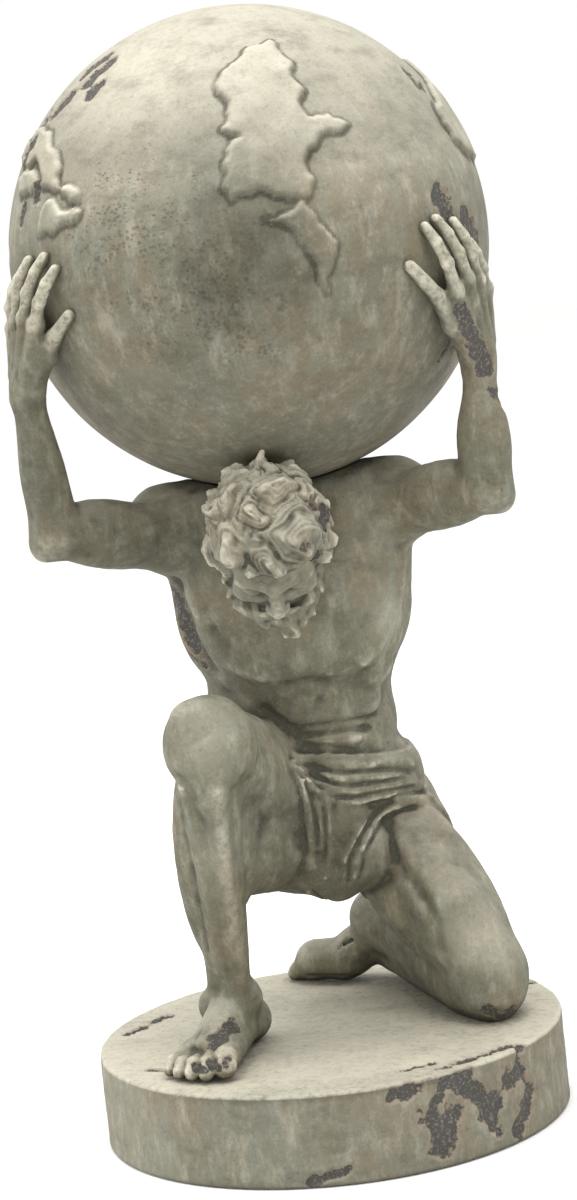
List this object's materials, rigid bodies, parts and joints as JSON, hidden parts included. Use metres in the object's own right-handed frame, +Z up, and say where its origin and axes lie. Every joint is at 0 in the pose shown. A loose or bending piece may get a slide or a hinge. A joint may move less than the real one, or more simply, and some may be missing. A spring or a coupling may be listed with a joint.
{
  "type": "kneeling bearer figure with globe",
  "caption": "Decorative statue of a kneeling, bearded man in a loincloth who bears a large globe with raised lands on his nape and hands, on an oval plinth.",
  "frame": {"origin": "middle of the plinth's flat underside", "axes": "+Z up, along the statue's height; -Y is the front, which the figure faces; +X is to the viewer's right"},
  "size_m": [0.2586, 0.272, 0.5997],
  "materials": {
    "plinth_stone": "matt aged cast stone, cream over olive grey, chipped to dark on the rim",
    "figure_stone": "matt aged cast stone, olive grey with cream on the raised forms",
    "globe_stone": "matt aged cast stone, cream on top and olive grey below, lightly pitted"
  },
  "bodies": {
    "root": {"plinth": "plinth_stone", "figure": "figure_stone", "globe": "globe_stone"}
  },
  "joints": []
}
